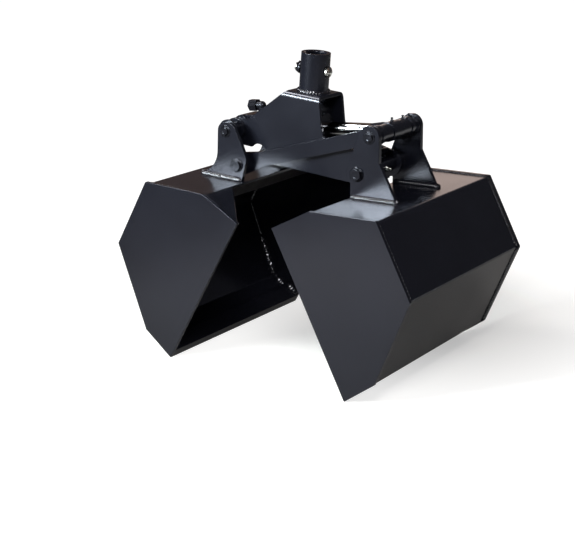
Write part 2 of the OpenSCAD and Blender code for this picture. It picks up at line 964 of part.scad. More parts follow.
module left_end_near() {
    color(paint) left_mirrored() end_solid(-end_out, -end_in);
}

module left_end_far() {
    color(paint) left_mirrored() end_solid(end_in, end_out);
}

module left_edge() {
    color(steel) left_mirrored() edge_solid();
}

module left_lip() {
    color(paint) left_mirrored() lip_solid();
}

module left_gusset_near() {
    color(paint) left_mirrored() gusset_solid(-1);
}

module left_gusset_far() {
    color(paint) left_mirrored() gusset_solid(1);
}

module left_ear_near() {
    color(paint) left_mirrored() ear_solid(-ear_out, true);
}

module left_ear_far() {
    color(paint) left_mirrored() ear_solid(ear_in, true);
}

module left_ear_welds() {
    color(bead) left_mirrored()
        ear_welds(left_foot_step, left_ear_foot);
}

module left_low_bolt() {
    color(steel) left_side() hex_bolt(left_low);
}

module left_low_nut() {
    color(steel) left_side() hex_nut(left_low);
}

module left_low_spacers() {
    color(paint) left_side()
        ring_pair(left_low, spacer_dia, pin_bore, link_out + side_play, ear_in);
}

module left_high_pin() {
    color(steel) left_side() headed_pin(left_high);
}

module left_high_clips() {
    color(steel) left_side()
        ring_pair(left_high, clip_dia, pin_bore, ear_out, ear_out + clip_plate);
}

// washers and spacers between ears and channel, and beside the base eye
module left_high_spacers() {
    color(paint) left_side() {
        ring_pair(left_high, ring_dia, pin_bore, ear_in - ring_plate, ear_in);
        ring_pair(left_high, spacer_dia - channel_plate / 2, pin_bore,
                  channel_out + boss_plate + side_play, ear_in - ring_plate);
        ring_pair(left_high, spacer_dia, pin_bore,
                  base_eye_width / 2 + side_play, channel_in - side_play);
    }
}

// Link bars, drawn from the lower left to the upper right pivot.

module link_bar(y_from) {
    y_to = y_from + link_plate;
    far = [link_length, 0];
    half = link_width / 2;
    run = link_eye * eye_taper_share;
    tip_run = link_tip_eye * eye_taper_share;
    upper = [tangent_left([0, 0], link_eye, [run, half], 0)[0], [run, half],
             [link_length - tip_run, half],
             tangent_left([link_length - tip_run, half], 0,
                          far, link_tip_eye)[1]];
    lower = [for (i = [3:-1:0]) [upper[i].x, -upper[i].y]];
    color(paint) along_line(left_low_open, link_heading) difference() {
        union() {
            bar_y([0, 0], 2 * link_eye, y_from, y_to);
            bar_y(far, 2 * link_tip_eye, y_from, y_to);
            slab(y_from, y_to) polygon(concat(upper, [far], lower, [[0, 0]]));
        }
        bar_y([0, 0], pin_bore, y_from - over, y_to + over);
        bar_y(far, loose_bore, y_from - over, y_to + over);
    }
}

module link_near() {
    link_bar(-link_out);
}

module link_far() {
    link_bar(link_in);
}

module link_cross_tube() {
    color(paint) along_line(left_low_open, link_heading)
        ring_y([0, 0], cross_tube_dia, pin_bore, -link_in, link_in);
}

// Cylinder, drawn from the left upper pivot along X.

// round piece along the cylinder axis
module on_rod_line(x_from) {
    translate([x_from, 0, 0]) rotate([0, 90, 0]) children();
}

module barrel() {
    start = cap_reach + cap_length;
    length = barrel_reach - gland_length - start;
    color(paint) along_line(left_high, rod_heading)
        on_rod_line(start) difference() {
            cylinder(d = barrel_dia, h = length);
            translate([0, 0, -over])
                cylinder(d = barrel_bore, h = length + 2 * over);
        }
}

module base_cap() {
    color(paint) along_line(left_high, rod_heading) difference() {
        union() {
            on_rod_line(cap_reach) cylinder(d = barrel_dia, h = cap_length);
            bar_y([0, 0], 2 * base_eye, -base_eye_width / 2,
                  base_eye_width / 2);
            translate([0, -base_eye_width / 2, -base_eye])
                cube([cap_reach, base_eye_width, 2 * base_eye]);
        }
        bar_y([0, 0], pin_bore, -base_eye_width, base_eye_width);
        on_rod_line(cap_reach - over) difference() {
            cylinder(d = 3 * barrel_dia, h = over);
            cylinder(d = barrel_dia, h = over);
        }
    }
}

module gland() {
    color(steel) along_line(left_high, rod_heading)
        on_rod_line(barrel_reach - gland_length) difference() {
            cylinder(d = gland_dia, h = gland_length);
            translate([0, 0, -over])
                cylinder(d = rod_dia + 2 * slide_fit, h = gland_length + 2 * over);
        }
}

// elbow on the base cap, with its nut pointing back
module supply_port() {
    nut_end = cap_reach - barrel_dia * port_gap_share;
    start = nut_end - port_nut;
    color(steel) along_line(left_high, rod_heading) difference() {
        union() {
            translate([port_reach, 0, 0])
                cylinder(d = port_elbow, h = port_height);
            translate([port_reach, 0, port_height]) sphere(d = port_elbow);
            translate([nut_end - over, 0, port_height]) rotate([0, 90, 0])
                cylinder(d = port_elbow, h = port_reach - nut_end + over);
            translate([start, 0, port_height]) rotate([0, 90, 0])
                rotate(30)
                cylinder(d = port_flats / cos(30), h = port_nut, $fn = 6);
        }
        translate([port_reach, 0, 0]) rotate([0, 90, 0])
            cylinder(d = barrel_dia, h = 2 * port_elbow, center = true);
        translate([start - over, 0, port_height]) rotate([0, 90, 0])
            cylinder(d = port_bore, h = port_nut + over);
    }
}

module rod() {
    start = piston_reach + piston_length;
    color(chrome) along_line(left_high, rod_heading) on_rod_line(start)
        cylinder(d = rod_dia, h = reach - rod_eye / 2 - flare_length - start);
}

module rod_end_eye() {
    half = rod_eye_width / 2;
    start = reach - rod_eye / 2 - flare_length;
    color(steel) along_line(left_high, rod_heading) difference() {
        union() {
            bar_y([reach, 0], rod_eye, -half, half);
            on_rod_line(start)
                cylinder(d1 = rod_dia, d2 = rod_flare, h = flare_length);
            on_rod_line(reach - rod_eye / 2)
                cylinder(d = rod_flare, h = rod_eye / 2);
        }
        bar_y([reach, 0], pin_dia + 2 * rod_play, -rod_eye, rod_eye);
    }
}

module piston() {
    color(steel) along_line(left_high, rod_heading) on_rod_line(piston_reach)
        cylinder(d = barrel_bore - 2 * slide_fit, h = piston_length);
}

frame_channel();
rotator_collar();
collar_weld();
collar_bolt();
collar_nut();
left_boss_near();
left_boss_far();
right_pivot_tube();
frame_brace();
grease_nipple();
right_shell();
right_end_near();
right_end_far();
right_edge();
right_lip();
right_gusset_near();
right_gusset_far();
right_ear_near();
right_ear_far();
right_ear_welds();
right_low_bolt();
right_low_nut();
right_thrust_rings();
right_high_pin();
right_high_clips();
right_high_spacers();
left_shell();
left_end_near();
left_end_far();
left_edge();
left_lip();
left_gusset_near();
left_gusset_far();
left_ear_near();
left_ear_far();
left_ear_welds();
left_low_bolt();
left_low_nut();
left_low_spacers();
left_high_pin();
left_high_clips();
left_high_spacers();
link_near();
link_far();
link_cross_tube();
barrel();
base_cap();
gland();
supply_port();
rod();
rod_end_eye();
piston();
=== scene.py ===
"""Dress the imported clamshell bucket: paint, bright metal, weld beads, studio."""

from __future__ import annotations

import json
import logging
import math
from dataclasses import dataclass, field
from enum import Enum
from typing import Any, Dict, List, Sequence, Tuple

import bmesh
import bpy
import numpy as np
from mathutils import Matrix, Vector

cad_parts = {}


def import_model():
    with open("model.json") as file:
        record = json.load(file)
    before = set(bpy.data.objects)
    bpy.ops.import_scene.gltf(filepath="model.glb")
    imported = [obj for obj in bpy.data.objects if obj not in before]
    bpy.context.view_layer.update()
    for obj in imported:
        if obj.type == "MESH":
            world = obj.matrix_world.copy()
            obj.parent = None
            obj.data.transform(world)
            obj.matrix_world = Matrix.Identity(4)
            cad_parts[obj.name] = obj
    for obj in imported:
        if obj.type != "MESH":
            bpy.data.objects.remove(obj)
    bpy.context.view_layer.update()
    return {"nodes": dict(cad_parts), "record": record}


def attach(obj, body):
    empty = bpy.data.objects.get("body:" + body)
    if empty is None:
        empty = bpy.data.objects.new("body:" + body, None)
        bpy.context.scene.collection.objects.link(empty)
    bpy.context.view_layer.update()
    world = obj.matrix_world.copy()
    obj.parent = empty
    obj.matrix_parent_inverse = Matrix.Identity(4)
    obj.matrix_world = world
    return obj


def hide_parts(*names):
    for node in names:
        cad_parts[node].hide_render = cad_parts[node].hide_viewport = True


LOG = logging.getLogger("clamshell_bucket")

Point = Tuple[float, float, float]
Colour = Tuple[float, float, float, float]
Span = Tuple[float, float]
MM = 0.001
# Radius in millimetres at which a turned piece is closed on its axis.
POLE = 0.02
# Values of Blender's noise at which a finish is darkest and smoothest, is
# roughest, and is lightest.
NOISE_LOW, NOISE_HIGH, NOISE_TOP = 0.3, 0.7, 0.72
SENSOR_MM = 36.0
# Pivots across the ears, X and Z in millimetres.
RIGHT_LOW, RIGHT_HIGH = (168.626, 486.237), (199.654, 575.087)
LEFT_LOW, LEFT_HIGH = (-175.113, 464.271), (-209.084, 545.036)


class Body(Enum):
    """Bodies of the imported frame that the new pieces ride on."""

    HEAD = "head"
    RIGHT = "right_jaw"
    LEFT = "left_jaw"
    ROD = "rod"


class Slot(Enum):
    """Material slots of the record."""

    PAINT = "black_paint"
    WELD = "weld_bead"
    STEEL = "steel"
    ZINC = "zinc"
    CHROME = "chrome"


def srgb(code: str) -> Colour:
    """Turn an sRGB hex colour into linear values.

    Args:
        code: Six hex digits with a leading hash.

    Returns:
        Linear red, green, blue and an alpha of one.
    """
    parts = [int(code[i:i + 2], 16) / 255.0 for i in (1, 3, 5)]
    lin = [c / 12.92 if c <= 0.04045 else ((c + 0.055) / 1.055) ** 2.4 for c in parts]
    return (lin[0], lin[1], lin[2], 1.0)


def add_node(
    tree: bpy.types.NodeTree,
    kind: str,
    settings: Dict[str, Any] | None = None,
    **inputs: Any,
) -> bpy.types.Node:
    """Add one shader node, set it up and link it.

    Args:
        tree: Node tree that takes the node.
        kind: Blender's name of the node type.
        settings: Properties of the node itself.
        **inputs: Socket values or the output sockets to link, by the socket's
            name with underscores for spaces, or i0, i1 and so on by place.

    Returns:
        The new node.
    """
    node = tree.nodes.new(kind)
    for key, value in (settings or {}).items():
        setattr(node, key, value)
    for key, value in inputs.items():
        if key[0] == "i" and key[1:].isdigit():
            socket = node.inputs[int(key[1:])]
        else:
            socket = node.inputs[key.replace("_", " ")]
        if isinstance(value, bpy.types.NodeSocket):
            tree.links.new(value, socket)
        else:
            socket.default_value = value
    return node


def ramp(
    tree: bpy.types.NodeTree,
    factor: bpy.types.NodeSocket,
    stops: Sequence[Tuple[float, Colour]],
) -> bpy.types.NodeSocket:
    """Colour ramp through the given stops.

    Args:
        tree: Node tree that takes the ramp.
        factor: Socket that drives it.
        stops: Place and colour of each stop.

    Returns:
        The colour output.
    """
    node = add_node(tree, "ShaderNodeValToRGB", i0=factor)
    band = node.color_ramp
    while len(band.elements) < len(stops):
        band.elements.new(0.5)
    for element, (place, colour) in zip(band.elements, stops):
        element.position = place
        element.color = colour
    return node.outputs["Color"]


@dataclass(frozen=True)
class Finish:
    """A surface finish, named for the real material and how it was made.

    Grain, bump height, bump spacing and the rounding of edges for light are
    in millimetres.
    """

    name: str
    dark: str
    light: str
    rough_low: float
    rough_high: float
    metallic: float = 0.0
    coat: float = 0.0
    coat_rough: float = 0.1
    ior: float = 1.5
    shine: float = 0.5
    grain_mm: float = 60.0
    bump_mm: float = 0.05
    bump_scale_mm: float = 9.0
    edge_mm: float = 1.2
    glint: str = "#ffffff"

    def build(self) -> bpy.types.Material:
        """Make the material.

        One noise mottles colour and roughness at the size of the grain, a
        finer one gives the bump, and the bevel rounds the edges for light.

        Returns:
            The finished material.
        """
        mat = bpy.data.materials.new(self.name)
        mat.use_nodes = True
        tree = mat.node_tree
        tree.nodes.clear()
        coords = add_node(tree, "ShaderNodeTexCoord").outputs["Object"]
        cloud = add_node(
            tree, "ShaderNodeTexNoise", Vector=coords,
            Scale=1.0 / (self.grain_mm * MM), Detail=4.0, Roughness=0.55,
        ).outputs["Fac"]
        colour = ramp(
            tree, cloud, [(NOISE_LOW, srgb(self.dark)), (NOISE_TOP, srgb(self.light))],
        )
        rough = add_node(
            tree, "ShaderNodeMapRange", Value=cloud,
            From_Min=NOISE_LOW, From_Max=NOISE_HIGH,
            To_Min=self.rough_low, To_Max=self.rough_high,
        ).outputs["Result"]
        rounded = add_node(
            tree, "ShaderNodeBevel", {"samples": 4}, Radius=self.edge_mm * MM,
        ).outputs["Normal"]
        peel = add_node(
            tree, "ShaderNodeTexNoise", Vector=coords,
            Scale=1.0 / (self.bump_scale_mm * MM), Detail=2.0,
        ).outputs["Fac"]
        bump = add_node(
            tree, "ShaderNodeBump", Strength=1.0, Distance=self.bump_mm * MM,
            Height=peel, Normal=rounded,
        ).outputs["Normal"]
        shader = add_node(
            tree, "ShaderNodeBsdfPrincipled", Base_Color=colour, Roughness=rough,
            Metallic=self.metallic, IOR=self.ior, Normal=bump,
            Specular_IOR_Level=self.shine, Specular_Tint=srgb(self.glint),
            Coat_Weight=self.coat, Coat_Roughness=self.coat_rough,
        )
        add_node(tree, "ShaderNodeOutputMaterial", Surface=shader.outputs["BSDF"])
        return mat


# Powder coat on bent plate, sprayed and baked: a deep black with a soft
# gloss that shows broad reflections and slight orange peel.
BLACK_PAINT = Finish(
    "black_powder_coat", "#0b0c12", "#101118", 0.19, 0.25,
    grain_mm=180.0, bump_mm=0.05, bump_scale_mm=14.0, edge_mm=2.0, glint="#eff1ff",
)
# The same powder coat over arc weld beads: it gathers in the ripples.
WELD_PAINT = Finish(
    "powder_coated_weld", "#0c0d12", "#14151b", 0.12, 0.2,
    coat=1.0, coat_rough=0.12,
    grain_mm=12.0, bump_mm=0.06, bump_scale_mm=2.5, edge_mm=0.4, glint="#eff1ff",
)
# The same coat, darker and duller on the lips under the jaws: a painted shade for the dark
# reflections there.
LIP_PAINTED_SHADE = Finish(
    "lip_coat_painted_shade", "#08080b", "#0d0d11", 0.5, 0.62,
    shine=0.2, grain_mm=40.0, bump_mm=0.04, bump_scale_mm=4.0, edge_mm=1.4,
)
# Forged and blackened bolt steel: dull grey-black with worn light spots.
BLACK_BOLT = Finish(
    "blackened_bolt_steel", "#08080b", "#121217", 0.2, 0.28,
    shine=0.4, grain_mm=10.0, bump_mm=0.04, bump_scale_mm=3.0, edge_mm=0.8, glint="#e0e5f5",
)
# Zinc plated steel, bright and faintly cloudy.
ZINC = Finish(
    "zinc_plated_steel", "#a9a9a2", "#dcdcd6", 0.16, 0.34,
    metallic=1.0, grain_mm=7.0, bump_mm=0.05, bump_scale_mm=3.0, edge_mm=0.8,
)
# Hard chrome, ground and polished along the rod.
CHROME = Finish(
    "hard_chrome", "#c9cbce", "#eceef0", 0.05, 0.12,
    metallic=1.0, grain_mm=40.0, bump_mm=0.01, bump_scale_mm=6.0, edge_mm=0.8,
)


@dataclass(frozen=True)
class Softbox:
    """A softbox that the camera doesn't see; places and sizes in metres."""

    name: str
    place: Point
    aim: Point
    size: Span
    watts: float
    spread: float = 180.0
    tint: str = "#ffffff"

    def hang(self) -> None:
        """Hang the lamp at its place, turned to its aim."""
        data = bpy.data.lights.new(self.name, "AREA")
        data.shape = "RECTANGLE"
        data.size, data.size_y = self.size
        data.energy = self.watts
        data.spread = math.radians(self.spread)
        data.color = srgb(self.tint)[:3]
        lamp = bpy.data.objects.new(self.name, data)
        bpy.context.scene.collection.objects.link(lamp)
        lamp.location = self.place
        back = Vector(self.place) - Vector(self.aim)
        lamp.rotation_euler = back.to_track_quat("Z", "Y").to_euler()
        lamp.visible_camera = False


# One over the left jaw, one with a grid low in front of it, a flash high in
# front of the right jaw, and a warm panel behind the far side.
SOFTBOXES = (
    Softbox("top_softbox", (-1.1, -0.6, 2.15), (-0.05, 0.0, 0.3), (0.6, 0.7), 28.0),
    Softbox("front_softbox", (-1.0, -2.1, 1.2), (0.05, 0.0, 0.42), (1.1, 0.45), 14.0,
            spread=50.0, tint="#e6f0f2"),
    Softbox("high_flash", (1.2, -1.9, 2.2), (0.0, 0.0, 0.35), (0.8, 0.8), 45.0),
    Softbox("far_plate_panel", (-0.36, 1.5, 0.80), (0.30, 0.18, 0.434), (0.7, 0.7), 1.9,
            tint="#f4ddd2"),
)


@dataclass(frozen=True)
class Studio:
    """Camera at the photograph's view, pale floor, soft light.

    Each lift is a row of places and strengths. It says how much the floor
    glows by its distance from the shade spot: as seen by the camera, and as
    mirrored in the paint. The surroundings are the colours that mirrors see,
    by how far a ray turns to the back way. Places are in metres, angles in
    degrees and the focal length in pixels of the photograph.
    """

    place: Point = (1.76378, -2.70430, 1.18006)
    azimuth: float = 34.4926
    elevation: float = 16.7787
    roll: float = 0.0508
    focal_px: float = 1355.1
    width_px: float = 575.0
    ambient: float = 0.19
    ambient_tint: str = "#e6ebf5"
    floor_half: float = 12.0
    board: Tuple[str, str] = ("#b6b3ae", "#bcb9b5")
    glow: str = "#fafafa"
    seen_lift: Tuple[Span, ...] = (
        (0.0, 0.4), (0.1, 0.5), (0.22, 0.8), (0.45, 0.85), (0.6, 0.95), (1.0, 1.0),
    )
    # The mirrored lift is a painted reflection: a glow only mirrors see, nought over the shade
    # spot, brightest in a ring further out.
    mirrored_lift: Tuple[Span, ...] = (
        (0.0, 0.0), (0.26, 0.0), (0.4, 0.17), (0.52, 0.55), (0.68, 1.0), (0.78, 0.45),
        (1.0, 0.0),
    )
    shade_spot: Point = (0.12, 0.38, 0.0)
    shade_size: Point = (0.4, 0.45, 1.0)
    lift_reach: float = 6.0
    side_fade: Span = (-0.95, -0.45)
    back_way: Point = (0.3, 0.9, 0.3)
    # The surroundings are a painted reflection: colours only mirrors see, which light nothing
    # else.
    surroundings: Tuple[Tuple[float, str], ...] = (
        (0.0, "#4c4d52"), (0.5, "#6e5a4c"), (0.85, "#4e4e54"),
    )

    def camera(self) -> None:
        """Set the camera: back axis from azimuth and elevation, then roll."""
        az, el, ro = (math.radians(a) for a in (self.azimuth, self.elevation, self.roll))
        back = Vector((math.sin(az) * math.cos(el), -math.cos(az) * math.cos(el), math.sin(el)))
        right = Vector((math.cos(az), math.sin(az), 0.0))
        up = back.cross(right)
        turned_right = math.cos(ro) * right + math.sin(ro) * up
        turned_up = -math.sin(ro) * right + math.cos(ro) * up
        data = bpy.data.cameras.new("photo_camera")
        data.sensor_fit = "HORIZONTAL"
        data.sensor_width = SENSOR_MM
        data.lens = self.focal_px / self.width_px * SENSOR_MM
        data.clip_end = 50.0
        cam = bpy.data.objects.new("photo_camera", data)
        bpy.context.scene.collection.objects.link(cam)
        cam.matrix_world = Matrix.Translation(self.place) @ Matrix(
            (turned_right, turned_up, back)
        ).transposed().to_4x4()
        bpy.context.scene.camera = cam

    @staticmethod
    def seen_directly(tree: bpy.types.NodeTree) -> bpy.types.NodeSocket:
        """One for camera, glossy and transmission rays, nought for others.

        Args:
            tree: Node tree that takes the nodes.

        Returns:
            The value output.
        """
        rays = add_node(tree, "ShaderNodeLightPath")
        first = add_node(
            tree, "ShaderNodeMath", {"operation": "MAXIMUM"},
            i0=rays.outputs["Is Camera Ray"], i1=rays.outputs["Is Glossy Ray"],
        ).outputs["Value"]
        return add_node(
            tree, "ShaderNodeMath", {"operation": "MAXIMUM"},
            i0=first, i1=rays.outputs["Is Transmission Ray"],
        ).outputs["Value"]

    def board_material(self) -> bpy.types.Material:
        """Matt pale board that also glows, so that only the shade stays grey.

        The distance from the shade spot, in steps of the shade size, is laid
        over the reach of the lifts. Mirrors see the mirrored lift, which
        fades out to the left between the two X places of the side fade.

        Returns:
            The finished material.
        """
        mat = bpy.data.materials.new("pale_floor_board")
        mat.use_nodes = True
        tree = mat.node_tree
        tree.nodes.clear()
        coords = add_node(tree, "ShaderNodeTexCoord").outputs["Object"]
        cloud = add_node(tree, "ShaderNodeTexNoise", Vector=coords, Scale=2.0, Detail=2.0)
        board = ramp(tree, cloud.outputs["Fac"], [
            (0.2, srgb(self.board[0])), (0.8, srgb(self.board[1])),
        ])
        matt = add_node(tree, "ShaderNodeBsdfDiffuse", Color=board)
        spot = add_node(
            tree, "ShaderNodeMapping", {"vector_type": "TEXTURE"}, Vector=coords,
            Location=self.shade_spot, Scale=self.shade_size,
        ).outputs["Vector"]
        away = add_node(
            tree, "ShaderNodeVectorMath", {"operation": "LENGTH"}, i0=spot,
        ).outputs["Value"]
        along = add_node(
            tree, "ShaderNodeMapRange", Value=away, From_Max=self.lift_reach,
        ).outputs["Result"]
        seen, mirrored = (
            ramp(tree, along, [(p, (v, v, v, 1.0)) for p, v in stops])
            for stops in (self.seen_lift, self.mirrored_lift)
        )
        across = add_node(
            tree, "ShaderNodeMapRange", From_Min=self.side_fade[0], From_Max=self.side_fade[1],
            Value=add_node(tree, "ShaderNodeSeparateXYZ", Vector=coords).outputs["X"],
        ).outputs["Result"]
        mirrored = add_node(
            tree, "ShaderNodeMath", {"operation": "MULTIPLY"}, i0=mirrored, i1=across,
        ).outputs["Value"]
        glossy = add_node(tree, "ShaderNodeLightPath").outputs["Is Glossy Ray"]
        level = add_node(
            tree, "ShaderNodeMix", {"data_type": "RGBA"}, i0=glossy, i6=seen, i7=mirrored,
        ).outputs[2]
        lift = add_node(
            tree, "ShaderNodeMath", {"operation": "MULTIPLY"},
            i0=self.seen_directly(tree), i1=level,
        ).outputs["Value"]
        glow = add_node(tree, "ShaderNodeEmission", Color=srgb(self.glow), Strength=lift)
        both = add_node(
            tree, "ShaderNodeAddShader", i0=matt.outputs["BSDF"], i1=glow.outputs["Emission"],
        )
        add_node(tree, "ShaderNodeOutputMaterial", Surface=both.outputs["Shader"])
        return mat

    def floor(self) -> None:
        """Lay the pale floor, which keeps a faint shadow, as a stage piece."""
        mesh = bpy.data.meshes.new("studio_floor")
        half = self.floor_half
        mesh.from_pydata(
            [(-half, -half, 0.0), (half, -half, 0.0), (half, half, 0.0), (-half, half, 0.0)],
            [], [(0, 1, 2, 3)],
        )
        plane = bpy.data.objects.new("studio_floor", mesh)
        bpy.context.scene.collection.objects.link(plane)
        mesh.materials.append(self.board_material())

    def world(self) -> None:
        """White for the camera, dim for mirrors, a plain level for the rest.

        What mirrors see is a ramp over the dot product of the ray's
        direction and the back way: grey at the front, warm between, and grey
        again straight back.
        """
        world = bpy.data.worlds.new("studio_world")
        bpy.context.scene.world = world
        world.use_nodes = True
        tree = world.node_tree
        tree.nodes.clear()
        seen = self.seen_directly(tree)
        plain = add_node(
            tree, "ShaderNodeBackground", Color=srgb(self.ambient_tint), Strength=self.ambient,
        )
        way = add_node(tree, "ShaderNodeTexCoord").outputs["Generated"]
        turned = add_node(
            tree, "ShaderNodeVectorMath", {"operation": "DOT_PRODUCT"},
            i0=way, i1=self.back_way,
        ).outputs["Value"]
        dim = ramp(tree, turned, [(p, srgb(code)) for p, code in self.surroundings])
        straight = add_node(tree, "ShaderNodeLightPath").outputs["Is Camera Ray"]
        backdrop = add_node(
            tree, "ShaderNodeMix", {"data_type": "RGBA"},
            i0=straight, i6=dim, i7=srgb("#ffffff"),
        ).outputs[2]
        direct = add_node(tree, "ShaderNodeBackground", Color=backdrop, Strength=1.0)
        mixed = add_node(
            tree, "ShaderNodeMixShader", Fac=seen,
            i1=plain.outputs["Background"], i2=direct.outputs["Background"],
        )
        add_node(tree, "ShaderNodeOutputWorld", Surface=mixed.outputs["Shader"])

    def build(self) -> None:
        """Build camera, floor, world and lamps."""
        self.camera()
        self.floor()
        self.world()
        for lamp in SOFTBOXES:
            lamp.hang()
        LOG.info("studio: camera, floor, world, %d softboxes", len(SOFTBOXES))


def new_piece(
    name: str, points: np.ndarray, faces: List[Tuple[int, ...]], mat: bpy.types.Material,
    body: Body, smooth: bool = True,
) -> bpy.types.Object:
    """Make a mesh object from points and faces and let it ride on a body.

    Args:
        name: Name of the piece.
        points: Places in metres, one row each.
        faces: Indices of each face.
        mat: Its material.
        body: Body that carries it.
        smooth: Whether the faces are shaded smooth.

    Returns:
        The new object.
    """
    mesh = bpy.data.meshes.new(name)
    mesh.from_pydata(points.tolist(), [], faces)
    mesh.validate()
    mesh.materials.append(mat)
    mesh.polygons.foreach_set("use_smooth", [smooth] * len(mesh.polygons))
    mesh.update()
    piece = bpy.data.objects.new(name, mesh)
    bpy.context.scene.collection.objects.link(piece)
    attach(piece, body.value)
    LOG.info("%s: %d faces on %s", name, len(faces), body.value)
    return piece


@dataclass
class Surfaces:
    """Points and faces of several grids, gathered into one mesh."""

    points: List[np.ndarray] = field(default_factory=list)
    faces: List[Tuple[int, ...]] = field(default_factory=list)
    count: int = 0

    def add_loops(self, grid: np.ndarray, closed: bool = False) -> None:
        """Skin closed loops that follow each other along a path.

        Row i, column j joins row i + 1 and column j + 1, with the columns
        taken round; an open row of loops is capped at both ends.

        Args:
            grid: Places, as rows, columns and three coordinates.
            closed: Whether the last loop joins the first.
        """
        rows, cols = grid.shape[:2]
        index = np.arange(rows * cols).reshape(rows, cols) + self.count
        if closed:
            index = np.vstack([index, index[:1]])
        right = np.roll(index, -1, axis=1)
        quads = np.stack([index[:-1], right[:-1], right[1:], index[1:]], axis=-1)
        self.faces.extend(map(tuple, quads.reshape(-1, 4).tolist()))
        if not closed:
            self.faces.append(tuple(index[0][::-1].tolist()))
            self.faces.append(tuple(index[-1].tolist()))
        self.points.append(grid.reshape(-1, 3))
        self.count += rows * cols

    def build(
        self, name: str, mat: bpy.types.Material, body: Body, slot: Slot, smooth: bool = True,
    ) -> bpy.types.Object:
        """Make the piece, with all its faces turned outwards.

        Args:
            name: Name of the piece.
            mat: Its material.
            body: Body that carries it.
            slot: Slot of the record; not used.
            smooth: Whether the faces are shaded smooth.

        Returns:
            The new object.
        """
        piece = new_piece(
            name, np.concatenate(self.points), self.faces, mat, body, smooth,
        )
        work = bmesh.new()
        work.from_mesh(piece.data)
        bmesh.ops.recalc_face_normals(work, faces=work.faces)
        work.to_mesh(piece.data)
        work.free()
        return piece


@dataclass(frozen=True)
class WeldBead:
    """Arc weld in a corner, laid as overlapping ripples.

    Legs, pitch and sink are in millimetres. Flat is how far the rounded
    profile goes towards a straight one, crest the height of the ripples and
    wander that of the slow waves, as shares of the legs. Each wave is so many
    pitches long. The profile has so many points, and each pitch so many steps
    along the path.
    """

    leg_a: float
    leg_b: float
    pitch: float
    wander: float
    seed: int
    flat: float = 0.0
    crest: float = 0.28
    base: float = 0.8
    bend: float = 0.45
    waves: Tuple[float, ...] = (1.9, 3.3, 6.1)
    wall_share: float = 0.4
    least: float = 0.02
    sink: float = 0.3
    points: int = 9
    steps: int = 7

    def grid(
        self, path: np.ndarray, wall_a: np.ndarray, wall_b: np.ndarray, closed: bool = False,
    ) -> np.ndarray:
        """Work out the loops of the bead.

        The profile is a quarter of an ellipse, cos(pi t / 2) legs along wall
        a and sin(pi t / 2) legs along wall b, mixed by the flat share with
        the straight line 1 - t and t. Its size is the base, plus a crescent
        ripple |sin(pi (s / pitch - bend sin(pi t)))| that lags in the middle
        of the bead, plus a slow wander, the mean of three sines, that is
        weaker at the walls. The size shrinks with the square root of the
        distance to an open end. The last point of each loop is sunk in the
        corner.

        Args:
            path: Corner line, one row each.
            wall_a: Unit vectors along the first wall, for each row.
            wall_b: The same along the second wall.
            closed: Whether the bead goes all the way round.

        Returns:
            Places, as rows, columns and three coordinates.
        """
        lengths = np.linalg.norm(np.diff(path, axis=0), axis=1)
        s = np.concatenate([[0.0], np.cumsum(lengths)])[:, None]
        whole = s[-1, 0]
        spacing = self.pitch * MM
        pitch = whole / max(1, round(whole / spacing)) if closed else spacing
        t = np.linspace(0.0, 1.0, self.points)[None, :]
        arch = np.sin(np.pi * t)
        ripple = np.abs(np.sin(np.pi * (s / pitch - self.bend * arch)))
        phase = np.random.default_rng(self.seed).uniform(0.0, 6.28, len(self.waves))
        turns = np.maximum(1.0, np.round(whole / (np.array(self.waves) * spacing)))
        slow = sum(
            np.sin(2.0 * np.pi * k * s / whole + p) for k, p in zip(turns, phase)
        ) / len(self.waves)
        weight = self.wall_share + (1.0 - self.wall_share) * arch
        size = self.base + self.crest * ripple + self.wander * slow * weight
        if not closed:
            near_end = np.minimum(s, whole - s) / (self.leg_b * MM)
            size = size * np.sqrt(np.clip(near_end, self.least, 1.0))
        full = 1.0 - self.flat
        share_a = full * np.cos(0.5 * np.pi * t) + self.flat * (1.0 - t)
        share_b = full * np.sin(0.5 * np.pi * t) + self.flat * t
        along_a = (self.leg_a * MM * size * share_a)[..., None]
        along_b = (self.leg_b * MM * size * share_b)[..., None]
        crown = path[:, None] + along_a * wall_a[:, None] + along_b * wall_b[:, None]
        root = path - self.sink * MM * (wall_a + wall_b)
        grid = np.concatenate([crown, root[:, None]], axis=1)
        return grid[:-1] if closed else grid

    def straight(
        self, start: np.ndarray, end: np.ndarray, wall_a: np.ndarray, wall_b: np.ndarray,
    ) -> np.ndarray:
        """Loops of a bead along a straight corner.

        Args:
            start: First point of the corner.
            end: Last point of the corner.
            wall_a: Unit vector along the first wall.
            wall_b: Unit vector along the second wall.

        Returns:
            Places, as rows, columns and three coordinates.
        """
        run = float(np.linalg.norm(end - start))
        count = max(6, int(run / (self.pitch * MM) * self.steps))
        share = np.linspace(0.0, 1.0, count)[:, None]
        path = start + share * (end - start)
        rows = np.ones((len(share), 1))
        return self.grid(path, rows * wall_a, rows * wall_b)


